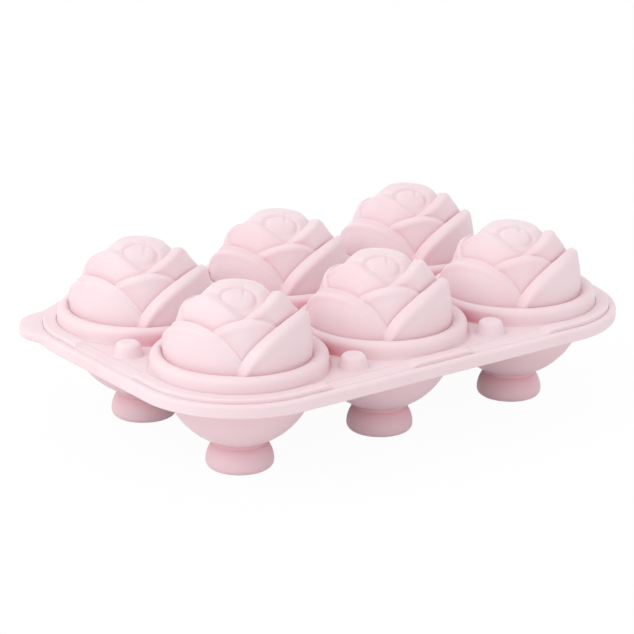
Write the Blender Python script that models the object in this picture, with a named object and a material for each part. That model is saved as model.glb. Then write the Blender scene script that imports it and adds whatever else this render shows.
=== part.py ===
"""Two-part silicone mould that casts six roses.

The rose half, a flange with six hollow roses, lies in the rim of the base half, a flange with six cups
that end in pouring funnels. Metres, +Z up: X runs along the rows of roses, Y across them, and the origin
lies under the middle of the mould, on the surface that the funnels stand on.
"""

import math
from collections import namedtuple

import bmesh
import bpy
from mathutils import Matrix, Vector

# Driving dimensions: layout
COLUMNS = 3
ROWS = 2
SOLID_GAP = 0.0003          # between the solids that one moulding is divided into
COLLAR_GAP = 0.0004         # between the collars of neighbouring roses
HALF_FIT = 0.0004           # sideways play between the two halves
PARTING_GAP = 0.0003        # between the faces of the two halves

# Driving dimensions: roses
ROSE_RADIUS = 0.0270        # at the crease where the petals meet the collar
ROSE_WALL = 0.0022          # between the petals and the cavity
ROSE_CENTRE_RISE = 0.0027   # centre of the petals above the foot of the collar
COLLAR_LEDGE = 0.0038       # from the crease out to the side of the collar
COLLAR_WALL = 0.0056        # between the side of the collar and the cavity
COLLAR_HEIGHT = 0.0056
COLLAR_ROUND = 0.0022       # rounding of the collar's shoulder
CREASE_DROP = 0.0014        # from the top of the collar down to the crease
COLLAR_CEILING = 0.0032     # from the top of the collar down to the cavity's ledge
PETAL_TILT = 0.0008         # a petal's left edge stands out, its right edge tucks in
LIP_WIDTH = 0.0030          # rounded edge of a petal
LIP_DROP = 0.0016
BUD_DISTANCE = 0.0267       # middle of the bud from the rose's centre

# Driving dimensions: cups and funnel feet
CUP_WALL = 0.0019
CUP_CENTRE_RISE = 0.0022    # centre of the cup's round above the parting face
FOOT_HEIGHT = 0.0108
FOOT_RADIUS = 0.0121        # at its widest
FOOT_ROUND_HEIGHT = 0.0022  # rounding of the foot's lower edge
FOOT_ROUND_WIDTH = 0.0017
FOOT_BULGE = 0.75           # the smaller, the sooner the foot widens below its neck
NECK_RADIUS = 0.0102
BORE_RADIUS = 0.0055        # of the funnel, where it enters the cup
MOUTH_RADIUS = 0.0083       # of the funnel, at the foot
BORE_LENGTH = 0.0025        # straight stretch below the cup

# Driving dimensions: flanges
BASE_PLATE = 0.0025
RIM_WIDTH = 0.0026
RIM_HEIGHT = 0.0022         # above the parting face
RIM_CHAMFER = 0.0008
ROSE_PLATE = 0.0027
BORDER_WIDTH = 0.0048       # raised strip round the rose flange
BORDER_HEIGHT = 0.0007
TAB_REACH = 0.0060          # of the corner pull tab, beyond the rim
TAB_TIP_RADIUS = 0.0090
TAB_TURN = math.radians(150)  # direction of the tab from the middle of its corner's round

# Driving dimensions: locating pegs and their sockets
PEG_BASE_RADIUS = 0.0030
PEG_TOP_RADIUS = 0.0022
PEG_HEIGHT = 0.0058
SOCKET_WALL = 0.0014
SOCKET_FLARE = 0.0004       # extra wall at the foot of a socket's bump
PEG_INSET_Y = 0.0145        # from the long edges of the mould
PEG_INSET_X = 0.0132        # from its short edges

# Facets
ROSE_SEGMENTS = 30
CUP_SEGMENTS = 20
CUP_RINGS = 4
FOOT_SEGMENTS = 16
FLARE_RINGS = 4
HOLE_SEGMENTS = 24
PEG_SEGMENTS = 12
CORNER_STEPS = 8
ROUND_MIDDLE = 1 - math.sqrt(0.5)   # of a rounding's corner, in its middle
SHARP_ANGLE = math.radians(40)

# Petals: three to a tier. Angles are in degrees, radii are shares of the rose's radius.
# turn is where the first petal stands highest, top its height above the rose's centre, left and right how far
# it reaches to each side, low and lip its distance from the centre at its foot and at its edge.
Tier = namedtuple("Tier", "turn top left right low lip")
TIERS = (
    Tier(turn=-55, top=41.5, left=70, right=57, low=0.970, lip=1.060),
    Tier(turn=-110, top=47.0, left=69, right=54, low=0.870, lip=1.060),
    Tier(turn=-55, top=68.0, left=92, right=82, low=0.800, lip=1.030),
    Tier(turn=-115, top=80.0, left=100, right=90, low=0.760, lip=1.060),
)
PETALS_IN_TIER = 3
LEAST_BAND = 3.0            # of a tier that shows above the one below it
STEP_CLIMB = 1.0            # from the edge of one tier to the foot of the next
PETAL_STAGES = (0.0, 0.82, 1.0)   # rings of points on a tier, from its foot to its edge
CAVITY_STAGES = (0.0, 1.0)

# Derived sizes
COLLAR_RADIUS = ROSE_RADIUS + COLLAR_LEDGE
CAVITY_RADIUS = COLLAR_RADIUS - COLLAR_WALL
PITCH = 2 * COLLAR_RADIUS + COLLAR_GAP
CORNER_RADIUS = COLLAR_RADIUS + HALF_FIT + BORDER_WIDTH + HALF_FIT + RIM_WIDTH
HALF_X = (COLUMNS - 1) / 2 * PITCH + CORNER_RADIUS
HALF_Y = (ROWS - 1) / 2 * PITCH + CORNER_RADIUS
TAB_CORNER = int(TAB_TURN // (math.pi / 2))
CUP_INNER = math.hypot(CAVITY_RADIUS, CUP_CENTRE_RISE)
CUP_OUTER = CUP_INNER + CUP_WALL
CUP_SEAT_Z = FOOT_HEIGHT + SOLID_GAP
CUP_CENTRE_Z = CUP_SEAT_Z + math.sqrt(CUP_OUTER**2 - NECK_RADIUS**2)
PARTING_Z = CUP_CENTRE_Z - CUP_CENTRE_RISE
BASE_UNDERSIDE_Z = PARTING_Z - BASE_PLATE
CUP_TOP_Z = BASE_UNDERSIDE_Z - SOLID_GAP
ROSE_PLATE_Z = PARTING_Z + PARTING_GAP
ROSE_PLATE_TOP_Z = ROSE_PLATE_Z + ROSE_PLATE
COLLAR_Z = ROSE_PLATE_TOP_Z + SOLID_GAP
CREASE_ANGLE = math.atan2(COLLAR_HEIGHT - CREASE_DROP - ROSE_CENTRE_RISE, ROSE_RADIUS)
PEG_FOOT_Z = PARTING_Z + SOLID_GAP
SOCKET_RADIUS = PEG_BASE_RADIUS + HALF_FIT
SOCKET_TOP_RADIUS = PEG_TOP_RADIUS + HALF_FIT
SOCKET_TOP_Z = PEG_FOOT_Z + PEG_HEIGHT + HALF_FIT
BUMP_RADIUS = SOCKET_RADIUS + SOCKET_WALL + SOCKET_FLARE
BUMP_TOP_RADIUS = SOCKET_TOP_RADIUS + SOCKET_WALL
BUMP_TOP_Z = SOCKET_TOP_Z + SOCKET_WALL

SILICONE_PINK = (0.86, 0.66, 0.69, 1.0)
SILICONE_ROUGHNESS = 0.55


def rose_places():
    """Centres of the roses, front row first, from left to right."""
    for row in range(ROWS):
        for column in range(COLUMNS):
            x = (column - (COLUMNS - 1) / 2) * PITCH
            y = (row - (ROWS - 1) / 2) * PITCH
            yield x, y


def peg_places():
    """Pegs midway between the roses along both long edges, and one at the middle of each short edge."""
    side_y = HALF_Y - PEG_INSET_Y
    for gap in range(COLUMNS - 1):
        x = (gap - (COLUMNS - 2) / 2) * PITCH
        yield x, -side_y
        yield x, side_y
    end_x = HALF_X - PEG_INSET_X
    yield -end_x, 0.0
    yield end_x, 0.0


def petals(tier, turn):
    """Each petal of a tier that reaches a turn about the rose: its place across and its edge there."""
    for petal in range(PETALS_IN_TIER):
        offset = (turn - tier.turn - petal * 360 / PETALS_IN_TIER + 180) % 360 - 180
        across = offset / (tier.left if offset < 0 else tier.right)
        if abs(across) < 1:
            yield across, tier.top * math.sqrt(1 - across * across)


def edge_climb(level, turn):
    """Height angle of a tier's edge: its highest petal there, but always above the tier below."""
    if level < 0:
        return math.degrees(CREASE_ANGLE)
    highest = max(edge for across, edge in petals(TIERS[level], turn))
    return max(highest, edge_climb(level - 1, turn) + LEAST_BAND)


def face_distance(level, turn, climb):
    """Distance of a tier from the rose's centre: its outermost petal, rounded off towards the petal's edge."""
    tier = TIERS[level]
    face = ROSE_RADIUS * (tier.low + (tier.lip - tier.low) * climb / tier.top)
    furthest = 0
    for across, edge in petals(tier, turn):
        inside = ROSE_RADIUS * math.radians(max(edge - climb, 0)) * math.sqrt(1 - across * across)
        short = max(0.0, 1 - inside / LIP_WIDTH)
        rounding = LIP_DROP * (1 - math.sqrt(1 - short * short))
        furthest = max(furthest, face - PETAL_TILT * across - rounding)
    return furthest


def petal_point(level, stage, turn):
    """Height angle and distance from the rose's centre of a point on a tier, by its share of the way up."""
    foot = edge_climb(level - 1, turn)
    if level > 0:
        foot += STEP_CLIMB
    climb = foot + (edge_climb(level, turn) - foot) * stage
    return climb, face_distance(level, turn, climb)


def silicone(name):
    """Matte pink silicone rubber."""
    material = bpy.data.materials.new(name)
    material.use_nodes = True
    shader = material.node_tree.nodes["Principled BSDF"]
    shader.inputs["Base Color"].default_value = SILICONE_PINK
    shader.inputs["Roughness"].default_value = SILICONE_ROUGHNESS
    shader.inputs["Metallic"].default_value = 0.0
    return material


def add_half(name, height):
    """Empty on the axis that the halves part along."""
    half = bpy.data.objects.new(name, None)
    half.location = (0, 0, height)
    bpy.context.scene.collection.objects.link(half)
    return half


def add_object(name, shape, half, material, place=(0, 0, 0)):
    """Finishes a bmesh as an object of one half, with its origin at place in the world."""
    bmesh.ops.recalc_face_normals(shape, faces=shape.faces)
    mesh = bpy.data.meshes.new(name)
    shape.to_mesh(mesh)
    shape.free()
    mesh.materials.append(material)
    mesh.shade_smooth()
    mesh.set_sharp_from_angle(angle=SHARP_ANGLE)
    piece = bpy.data.objects.new(name, mesh)
    bpy.context.scene.collection.objects.link(piece)
    piece.parent = half
    piece.location = Vector(place) - half.location
    return piece


def arc(centre_z, radius, low, high, steps):
    """Points (radius, height) on a round about the axis, from one angle above the level to another."""
    points = []
    for step in range(steps + 1):
        angle = low + (high - low) * step / steps
        points.append((radius * math.cos(angle), centre_z + radius * math.sin(angle)))
    return points


def turned(profile, segments):
    """Bmesh made by spinning a profile of (radius, height) points about the vertical axis."""
    shape = bmesh.new()
    points = [shape.verts.new((radius, 0, height)) for radius, height in profile]
    for first, second in zip(points, points[1:]):
        shape.edges.new((first, second))
    bmesh.ops.spin(
        shape,
        geom=list(shape.verts) + list(shape.edges),
        cent=(0, 0, 0),
        axis=(0, 0, 1),
        angle=math.tau,
        steps=segments,
        use_merge=True,
    )
    bmesh.ops.remove_doubles(shape, verts=shape.verts, dist=1e-6)
    return shape


def shape_petals(shape, radius, low, stages, wall):
    """Moves the points of a spun round about the rose's centre out to the petals, less a wall.

    The rings of the round stand at even angles from low to the pole, and become the rings of the tiers.
    """
    rings = [(level, stage) for level in range(len(TIERS)) for stage in stages]
    centre = Vector((0, 0, ROSE_CENTRE_RISE))
    lag = math.degrees(wall / ROSE_RADIUS)
    for vert in shape.verts:
        arm = vert.co - centre
        across = math.hypot(arm.x, arm.y)
        angle = math.atan2(arm.z, across)
        if abs(arm.length - radius) > 1e-6 or angle < low - 1e-4:
            continue
        ring = round((angle - low) / (math.pi / 2 - low) * len(rings))
        turn = math.atan2(arm.y, arm.x)
        climb, distance = 90, BUD_DISTANCE
        if ring < len(rings):
            climb, distance = petal_point(*rings[ring], math.degrees(turn))
            climb = max(climb - lag, math.degrees(low))
        reach = distance - wall
        level_reach = reach * math.cos(math.radians(climb))
        height = reach * math.sin(math.radians(climb))
        vert.co = centre + Vector((level_reach * math.cos(turn), level_reach * math.sin(turn), height))


def make_rose():
    """Hollow rose on its collar, with the foot of the collar at height 0.

    A round dome and cavity are spun on one profile with the collar, and then shaped into petals.
    """
    top = math.pi / 2
    rise = ROSE_CENTRE_RISE
    cavity = ROSE_RADIUS - ROSE_WALL
    ceiling = COLLAR_HEIGHT - COLLAR_CEILING
    cavity_low = math.asin((ceiling - rise) / cavity)
    dome = arc(rise, ROSE_RADIUS, top, CREASE_ANGLE, len(TIERS) * len(PETAL_STAGES))
    collar = [
        (COLLAR_RADIUS - COLLAR_ROUND, COLLAR_HEIGHT),
        (COLLAR_RADIUS - COLLAR_ROUND * ROUND_MIDDLE, COLLAR_HEIGHT - COLLAR_ROUND * ROUND_MIDDLE),
        (COLLAR_RADIUS, COLLAR_HEIGHT - COLLAR_ROUND),
        (COLLAR_RADIUS, 0),
    ]
    hollow = [(CAVITY_RADIUS, 0), (CAVITY_RADIUS, ceiling)]
    inside = arc(rise, cavity, cavity_low, top, len(TIERS) * len(CAVITY_STAGES))
    shape = turned(dome + collar + hollow + inside, ROSE_SEGMENTS)
    shape_petals(shape, ROSE_RADIUS, CREASE_ANGLE, PETAL_STAGES, 0)
    shape_petals(shape, cavity, cavity_low, CAVITY_STAGES, ROSE_WALL)
    return shape


def make_cup():
    """Half-round cup with its seat for the funnel at height 0 and its open top upwards."""
    centre = CUP_CENTRE_Z - CUP_SEAT_Z
    top = CUP_TOP_Z - CUP_SEAT_Z
    outer_low = -math.acos(NECK_RADIUS / CUP_OUTER)
    outer_high = math.asin((top - centre) / CUP_OUTER)
    inner_low = -math.acos(BORE_RADIUS / CUP_INNER)
    inner_high = math.asin((top - centre) / CUP_INNER)
    outside = arc(centre, CUP_OUTER, outer_high, outer_low, CUP_RINGS)
    inside = arc(centre, CUP_INNER, inner_low, inner_high, CUP_RINGS)
    profile = outside + [(BORE_RADIUS, 0)] + inside
    return turned(profile + profile[:1], CUP_SEGMENTS)


def make_foot():
    """Flared funnel foot: a bulging outside, a flat ring to stand on and a mouth that narrows to the bore."""
    profile = []
    flare = FOOT_HEIGHT - FOOT_ROUND_HEIGHT
    for step in range(FLARE_RINGS + 1):
        share = step / FLARE_RINGS
        swell = math.sin(math.pi / 2 * share)**FOOT_BULGE
        profile.append((NECK_RADIUS + (FOOT_RADIUS - NECK_RADIUS) * swell, FOOT_HEIGHT - flare * share))
    for angle in (math.pi / 4, math.pi / 2):
        radius = FOOT_RADIUS - FOOT_ROUND_WIDTH * (1 - math.cos(angle))
        profile.append((radius, FOOT_ROUND_HEIGHT * (1 - math.sin(angle))))
    profile += [(MOUTH_RADIUS, 0), (BORE_RADIUS, FOOT_HEIGHT - BORE_LENGTH), (BORE_RADIUS, FOOT_HEIGHT)]
    return turned(profile + profile[:1], FOOT_SEGMENTS)


def tab_reach(angle):
    """How far the pull tab stands out of its corner, at an angle from the tab's own direction.

    Two straight edges leave the corner's round as tangents and meet in a rounded tip.
    """
    tip_centre = CORNER_RADIUS + TAB_REACH - TAB_TIP_RADIUS
    tangent = math.acos((CORNER_RADIUS - TAB_TIP_RADIUS) / tip_centre)
    away = abs(angle)
    if away >= tangent:
        return 0.0
    edge = CORNER_RADIUS / math.cos(tangent - away)
    tip = tip_centre * math.cos(away)
    inside = TAB_TIP_RADIUS**2 - (tip_centre * math.sin(away))**2
    if inside > 0:
        edge = min(edge, tip + math.sqrt(inside))
    return edge - CORNER_RADIUS


def outline(inset, height, with_tab=False):
    """Rounded rectangle, inset from the mould's edge, as a loop of points at one height."""
    loop = []
    radius = CORNER_RADIUS - inset
    for corner in range(4):
        side_x = 1 if corner in (0, 3) else -1
        side_y = 1 if corner in (0, 1) else -1
        centre_x = side_x * (HALF_X - CORNER_RADIUS)
        centre_y = side_y * (HALF_Y - CORNER_RADIUS)
        for step in range(CORNER_STEPS + 1):
            angle = (corner + step / CORNER_STEPS) * math.pi / 2
            reach = radius
            if with_tab and corner == TAB_CORNER:
                reach += tab_reach(angle - TAB_TURN)
            loop.append((centre_x + reach * math.cos(angle), centre_y + reach * math.sin(angle), height))
    return loop


def circle(x, y, radius, height, segments):
    """Round loop of points at one height."""
    loop = []
    for step in range(segments):
        angle = math.tau * step / segments
        loop.append((x + radius * math.cos(angle), y + radius * math.sin(angle), height))
    return loop


def add_loop(shape, points):
    """Adds a closed loop of points and gives its verts in order."""
    return [shape.verts.new(point) for point in points]


def bridge(shape, *loops):
    """Skins a run of loops that have the same number of points."""
    for lower, upper in zip(loops, loops[1:]):
        count = len(lower)
        for index in range(count):
            after = (index + 1) % count
            shape.faces.new((lower[index], lower[after], upper[after], upper[index]))


def fill(shape, *loops):
    """Flat face inside the first loop, with the other loops left open as holes."""
    edges = []
    for loop in loops:
        for index, vert in enumerate(loop):
            after = loop[(index + 1) % len(loop)]
            edges.append(shape.edges.get((vert, after)) or shape.edges.new((vert, after)))
    bmesh.ops.triangle_fill(shape, use_beauty=True, use_dissolve=False, edges=edges)


def add_holes(shape, low, high):
    """Round holes of the cavities through a plate: their loops on its lower and upper face."""
    below = []
    above = []
    for x, y in rose_places():
        below.append(add_loop(shape, circle(x, y, CAVITY_RADIUS, low, HOLE_SEGMENTS)))
        above.append(add_loop(shape, circle(x, y, CAVITY_RADIUS, high, HOLE_SEGMENTS)))
        bridge(shape, below[-1], above[-1])
    return below, above


def make_base_flange():
    """Plate with the six cavity holes, the rim that takes the rose half, and the pull tab."""
    shape = bmesh.new()
    rim_top = PARTING_Z + RIM_HEIGHT
    below, above = add_holes(shape, BASE_UNDERSIDE_Z, PARTING_Z)
    outer_low = add_loop(shape, outline(0, BASE_UNDERSIDE_Z, with_tab=True))
    outer_high = add_loop(shape, outline(0, rim_top - RIM_CHAMFER, with_tab=True))
    crest = add_loop(shape, outline(RIM_CHAMFER, rim_top, with_tab=True))
    inner_high = add_loop(shape, outline(RIM_WIDTH, rim_top))
    inner_low = add_loop(shape, outline(RIM_WIDTH, PARTING_Z))
    bridge(shape, outer_low, outer_high, crest, inner_high, inner_low)
    fill(shape, outer_low, *below)
    fill(shape, inner_low, *above)
    return shape


def make_rose_flange():
    """Plate with the six cavity holes, a raised border and hollow bumps that take the pegs."""
    shape = bmesh.new()
    edge = RIM_WIDTH + HALF_FIT
    border_top = ROSE_PLATE_TOP_Z + BORDER_HEIGHT
    below, above = add_holes(shape, ROSE_PLATE_Z, ROSE_PLATE_TOP_Z)
    for x, y in peg_places():
        below.append(add_loop(shape, circle(x, y, SOCKET_RADIUS, ROSE_PLATE_Z, PEG_SEGMENTS)))
        socket_top = add_loop(shape, circle(x, y, SOCKET_TOP_RADIUS, SOCKET_TOP_Z, PEG_SEGMENTS))
        above.append(add_loop(shape, circle(x, y, BUMP_RADIUS, ROSE_PLATE_TOP_Z, PEG_SEGMENTS)))
        bump_top = add_loop(shape, circle(x, y, BUMP_TOP_RADIUS, BUMP_TOP_Z, PEG_SEGMENTS))
        bridge(shape, below[-1], socket_top)
        bridge(shape, above[-1], bump_top)
        shape.faces.new(socket_top)
        shape.faces.new(bump_top)
    lower = add_loop(shape, outline(edge, ROSE_PLATE_Z))
    upper = add_loop(shape, outline(edge, border_top))
    border = add_loop(shape, outline(edge + BORDER_WIDTH, border_top))
    field = add_loop(shape, outline(edge + BORDER_WIDTH, ROSE_PLATE_TOP_Z))
    bridge(shape, lower, upper, border, field)
    fill(shape, lower, *below)
    fill(shape, field, *above)
    return shape


def make_peg():
    """Tapered locating peg with its foot at height 0."""
    shape = bmesh.new()
    bmesh.ops.create_cone(
        shape,
        cap_ends=True,
        segments=PEG_SEGMENTS,
        radius1=PEG_BASE_RADIUS,
        radius2=PEG_TOP_RADIUS,
        depth=PEG_HEIGHT,
        matrix=Matrix.Translation((0, 0, PEG_HEIGHT / 2)),
    )
    return shape


def main():
    """Builds both halves, closed."""
    for old in list(bpy.data.objects):
        bpy.data.objects.remove(old, do_unlink=True)
    base_half = add_half("base_half", 0)
    rose_half = add_half("rose_half", PARTING_Z)
    add_object("base_flange", make_base_flange(), base_half, silicone("base_flange_silicone"))
    add_object("rose_flange", make_rose_flange(), rose_half, silicone("rose_flange_silicone"))
    cup_silicone = silicone("cup_silicone")
    foot_silicone = silicone("funnel_foot_silicone")
    rose_silicone = silicone("rose_silicone")
    peg_silicone = silicone("locating_peg_silicone")
    for number, (x, y) in enumerate(rose_places(), start=1):
        add_object(f"funnel_foot_{number}", make_foot(), base_half, foot_silicone, (x, y, 0))
        add_object(f"cup_{number}", make_cup(), base_half, cup_silicone, (x, y, CUP_SEAT_Z))
        add_object(f"rose_{number}", make_rose(), rose_half, rose_silicone, (x, y, COLLAR_Z))
    for number, (x, y) in enumerate(peg_places(), start=1):
        add_object(f"locating_peg_{number}", make_peg(), base_half, peg_silicone, (x, y, PEG_FOOT_Z))


main()
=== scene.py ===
"""Looks of a two-part silicone mould for six roses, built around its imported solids.

Every new surface is worked out with numpy as rows of points. Cups, pegs and sockets are profiles turned about
their own upright axes. Roses are turned too, with petals that depend on the turn and the height angle.
The two flanges are profiles carried round the mould's outline. Lengths are metres.
"""

import math
from collections import namedtuple

import bmesh
import bpy
import numpy as np
from bpy.props import FloatProperty, FloatVectorProperty, PointerProperty
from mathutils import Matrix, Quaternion, Vector
from mathutils.geometry import tessellate_polygon


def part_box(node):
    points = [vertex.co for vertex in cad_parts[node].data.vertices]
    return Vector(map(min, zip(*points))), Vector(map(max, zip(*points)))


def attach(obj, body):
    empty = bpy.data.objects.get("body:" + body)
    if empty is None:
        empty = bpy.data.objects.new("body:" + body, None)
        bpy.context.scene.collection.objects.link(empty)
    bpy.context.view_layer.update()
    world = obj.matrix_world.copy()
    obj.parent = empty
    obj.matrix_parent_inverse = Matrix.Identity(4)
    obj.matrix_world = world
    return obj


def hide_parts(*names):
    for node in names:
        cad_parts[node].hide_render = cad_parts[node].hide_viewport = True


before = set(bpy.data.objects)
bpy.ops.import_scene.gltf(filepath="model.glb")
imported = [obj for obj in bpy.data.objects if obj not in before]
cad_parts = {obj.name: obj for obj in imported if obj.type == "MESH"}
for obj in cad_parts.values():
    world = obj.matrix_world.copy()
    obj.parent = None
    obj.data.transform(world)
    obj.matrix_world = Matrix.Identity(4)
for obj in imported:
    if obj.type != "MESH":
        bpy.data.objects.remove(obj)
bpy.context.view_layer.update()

bl_info = {
    "name": "Silicone rose mould",
    "version": (1, 0, 0),
    "blender": (4, 5, 0),
    "location": "3D View > Sidebar > Mould",
    "description": "Builds both halves of a silicone mould for six roses around its packed solids",
    "category": "Add Mesh",
}

MM = 0.001
PAINTED_SHADE = "painted_shade"             # attribute of painted shade on a mesh: 0 on open faces, 1 or more in the deepest creases
BASE_HALF = "base_half"
ROSE_HALF = "rose_half"
NUMBERS = range(1, 7)       # roses, cups, funnel feet and pegs are all numbered alike

# Places, from the solids
BASE_LOW, BASE_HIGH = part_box("base_flange")
LID_LOW, LID_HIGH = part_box("rose_flange")
COLLAR_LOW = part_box("rose_1")[0]
CUP_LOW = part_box("cup_1")[0]
FOOT_LOW, FOOT_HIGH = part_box("funnel_foot_1")
FOOT_RADIUS = (FOOT_HIGH.x - FOOT_LOW.x) / 2
PEG_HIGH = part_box("locating_peg_1")[1]

# Petals, tier by tier from the collar up. Angles are in degrees, distances are shares of the rose's radius.
# turn is where a petal stands highest, and top is its height above the rose's centre. left and right are its
# reach to each side, and lip is its distance from the centre at its edge. A tier's petals start at its low.
Petal = namedtuple("Petal", "turn top left right lip")
Tier = namedtuple("Tier", "low petals")
TIERS = (
    Tier(0.950, (
        Petal(turn=-59, top=41.5, left=68, right=65, lip=1.115),
        Petal(turn=60, top=40.0, left=66, right=60, lip=1.060),
        Petal(turn=191, top=39.0, left=60, right=50, lip=1.025),
    )),
    Tier(0.880, (
        Petal(turn=-112, top=47.3, left=65, right=50, lip=1.060),
        Petal(turn=6, top=44.0, left=66, right=82, lip=0.960),
        Petal(turn=120, top=46.0, left=60, right=76, lip=1.020),
    )),
    Tier(0.870, (
        Petal(turn=-44, top=64.5, left=118, right=54, lip=1.055),
        Petal(turn=60, top=60.0, left=76, right=88, lip=0.920),
        Petal(turn=177, top=66.5, left=46, right=97, lip=1.065),
    )),
)
FLARE = 1.5                 # petals lean out faster towards their edges by this power
LIP_MIDDLE = 0.76           # share of the lip's size at the middle of a petal
LIP_CHANGE = 0.30           # more at its left end, less at its right end
LIP_CURL = 2.5              # the lip curls in faster towards its edge by this power
BEAD_MIDDLE = 0.5           # place of the bead's crest on the lip, from its inner side to its edge
BEAD_SPREAD = 0.3
LIP_FALL = 4.0              # how steeply a face falls away outside its own petal
TIER_FLOOR = 0.066          # where no petal reaches, a tier lies this far inside its face
LEAST_BAND = 1.0            # degrees of a tier that show above the one below it
STEP_CLIMB = 0.7            # degrees from the edge of one tier to the foot of the next
TUCK_SPAN = 1.6             # degrees over which the foot of a tier is drawn in
LEAST_UPRIGHT = 0.05        # keeps the slope of an edge finite at the ends of a petal
BUD_CLIMB = 71              # height angle at which the bud is as far out as the rose's radius
BUD_NARROW = 0.0065         # how much less that is for each degree below
BUD_FRONT = -127            # turn that the bud's heart faces
RING_FADE = 1.6             # how fast the groove round the heart fades in front of the heart's middle
NOTCH_WIDTH = 0.6           # of the heart's notch, as a share of the bud's grooves
NOTCH_DEPTH = 0.7           # the same for its depth
NOTCH_PLACE = 0.6           # middle of the notch, on the way from the rose's axis to the heart's middle
NOTCH_SPREAD = 0.35         # and how far it reaches along that way

# Painted shade in the creases, in the necks and on the funnels, as a share of its colour
FUNNEL_PAINTED_SHADE = 0.20         # painted shade on the funnels and on the cups above them
NECK_PAINTED_SHADE = 0.50           # painted shade in the neck between the two
FOOT_PAINTED_SHADE = 0.2            # painted shade where a petal comes out from behind another
CREVICE_PAINTED_SHADE = 1.3         # painted shade where the collars of two roses touch
CREVICE_SPREAD = 36         # degrees
NEIGHBOUR = 70 * MM         # roses closer than this, from axis to axis, stand side by side

# Small shapes
PLUG = 1.5 * MM             # from a round opening to the seam between a turned piece and its flange
LEAD = 0.4 * MM             # rounding of the edges of cavities, cups and pouring mouths
SMALL_LEAD = 0.3 * MM       # rounding of the edges of sockets, of the pull tab and inside the rim
PEG_FILLET = 0.5 * MM       # where a peg meets its flange
PEG_LEAN = 10               # degrees from upright, at the shoulder of a peg
BUMP_LEAN = 5               # degrees, on a bump's side
MOUTH_LEAN = 10             # degrees, in a pouring mouth
TAB_UNDER = 0.85            # share of the pull tab's reach at its lower face
TAB_EDGE = 0.96             # and at its lower edge

# Finish of the silicone
PATCH_WIDTH = 28 * MM       # of the patches of pigment
SMEAR_WIDTH = 9 * MM        # of the smears in how dull the skin is
ROUGH_SPREAD = 0.07         # how much roughness changes with them, up and down
GRIT_WIDTH = 0.7 * MM       # as drawn
GRIT_HEIGHT = 0.03 * MM

# Stage
FLOOR_HALF = 4.0            # half of the floor's side
KEY_PLACE = (-1.00, 0.08, 0.88)
KEY_SIZE = 0.8
CLIP_START = 0.01

# Fineness of the surfaces
ROSE_COLUMNS = 360
CUP_COLUMNS = 120
PEG_COLUMNS = 64
TIER_ROWS = 20
ROW_CROWD = 1.5             # a tier's rows crowd towards its edge by this power
INSIDE_ROWS = 6
BUD_ROWS = 48
BOWL_STEPS = 40
FUNNEL_ROWS = 33
FUNNEL_CROWD = 1.6          # a funnel's rows crowd towards its neck by this power
ROUND_STEPS = 8
CORNER_STEPS = 60
SIDE_STEPS = 120
SHARP_ANGLE = math.radians(50)
MERGE = 1e-6


def linear(hex_colour):
    """Linear colour of an sRGB hex value such as "f3dbe0"."""
    shares = np.array([int(hex_colour[place:place + 2], 16) / 255 for place in (0, 2, 4)])
    low = shares / 12.92
    high = ((shares + 0.055) / 1.055) ** 2.4
    return tuple(np.where(shares <= 0.04045, low, high))


def length(name, description, millimetres):
    """Property that holds a length, with its default in millimetres."""
    return FloatProperty(name=name, description=description, default=millimetres * MM, min=0, unit="LENGTH")


def share(name, description, default):
    """Property that holds a share from 0 to 1."""
    return FloatProperty(name=name, description=description, default=default, min=0, max=1, subtype="FACTOR")


def angle(name, description, degrees):
    """Property that holds an angle, with its default in degrees."""
    return FloatProperty(name=name, description=description, default=math.radians(degrees), unit="ROTATION")


def strength(name, description, default):
    """Property that holds the strength of a light."""
    return FloatProperty(name=name, description=description, default=default, min=0)


def colour(name, description, hex_colour):
    """Property that holds a colour, with its default as an sRGB hex value."""
    return FloatVectorProperty(
        name=name, description=description, default=linear(hex_colour), min=0, max=1, size=3, subtype="COLOR"
    )


class RoseSizes(bpy.types.PropertyGroup):
    """Sizes of a rose and the collar that it stands on."""

    radius: length("Rose radius", "From the rose's axis to the crease above its collar", 27.0)
    centre_rise: length("Centre rise", "Centre of the petals above the foot of the collar", 2.7)
    wall: length("Wall", "Between the petals and the cavity", 2.2)
    lip_width: length("Lip width", "Of the rolled left edge of a petal", 6.5)
    lip_drop: length("Lip drop", "How far that edge curls in", 2.3)
    tilt: length("Petal tilt", "A petal's left end stands out this far, and its right end as far in", 1.2)
    tuck: length("Tuck", "How far the foot of a petal is drawn in behind the one below", 0.3)
    bead: length("Bead", "Height of the roll along the left edge of a petal", 1.0)
    heart_width: length("Heart width", "Half of the heart in the middle of the bud, from side to side", 6.6)
    heart_depth: length("Heart depth", "Half of the heart, from front to back", 5.0)
    heart_ahead: length("Heart place", "Of the heart in front of the rose's axis", 9.2)
    notch_aside: length("Notch place", "Of the heart's notch beside the rose's axis", 1.8)
    bud_aside: length("Bud place", "Of the bud's highest line beside the rose's axis", 1.7)
    groove: length("Bud groove", "Half width of the grooves on the bud", 1.0)
    groove_depth: length("Bud groove depth", "Of the grooves on the bud", 0.9)
    collar_radius: length("Collar radius", "Outside of the collar", 31.2)
    collar_height: length("Collar height", "From the flange to the top of the collar", 5.9)
    collar_round: length("Collar rounding", "Of the collar's shoulder", 2.6)
    crease_drop: length("Crease drop", "From the top of the collar down to the crease round the petals", 1.4)
    collar_fillet: length("Collar fillet", "Where the collar meets the flange", 0.8)
    cavity_radius: length("Cavity radius", "Of the hollow, at the flange", 25.2)
    ceiling: length("Ceiling", "Height of the straight part of the hollow above the flange", 2.7)
    # Painted shade: how far the shade painted into a crease reaches up a petal
    painted_shade: length("Blush", "How far the pink of a crease reaches up a petal", 3.0)


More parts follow.
